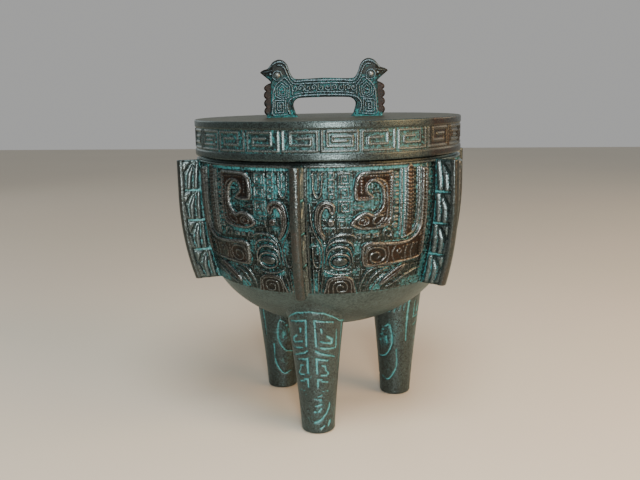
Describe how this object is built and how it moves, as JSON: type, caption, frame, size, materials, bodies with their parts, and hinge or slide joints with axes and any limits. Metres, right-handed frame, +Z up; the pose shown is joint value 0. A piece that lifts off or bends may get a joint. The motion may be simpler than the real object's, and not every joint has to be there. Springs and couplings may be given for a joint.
{
  "type": "lidded bronze tripod vessel",
  "caption": "Round footed bronze vessel with flanges, mask relief and a lift-off lid with a bird-headed bridge handle.",
  "frame": {"origin": "on the surface it stands on, under the middle of the vessel", "axes": "+Z up through the lid, -Y towards the front foot and the flange above it, +X to the right seen from the front"},
  "size_m": [0.2134, 0.2424, 0.2837],
  "materials": {
    "vessel_bronze": "dark brown-black bronze with satin raised parts and turquoise verdigris in the recesses",
    "lid_bronze": "dark brown-black bronze with satin raised parts and turquoise verdigris in the recesses"
  },
  "bodies": {
    "root": {"vessel": "vessel_bronze", "lid": "lid_bronze"}
  },
  "joints": []
}
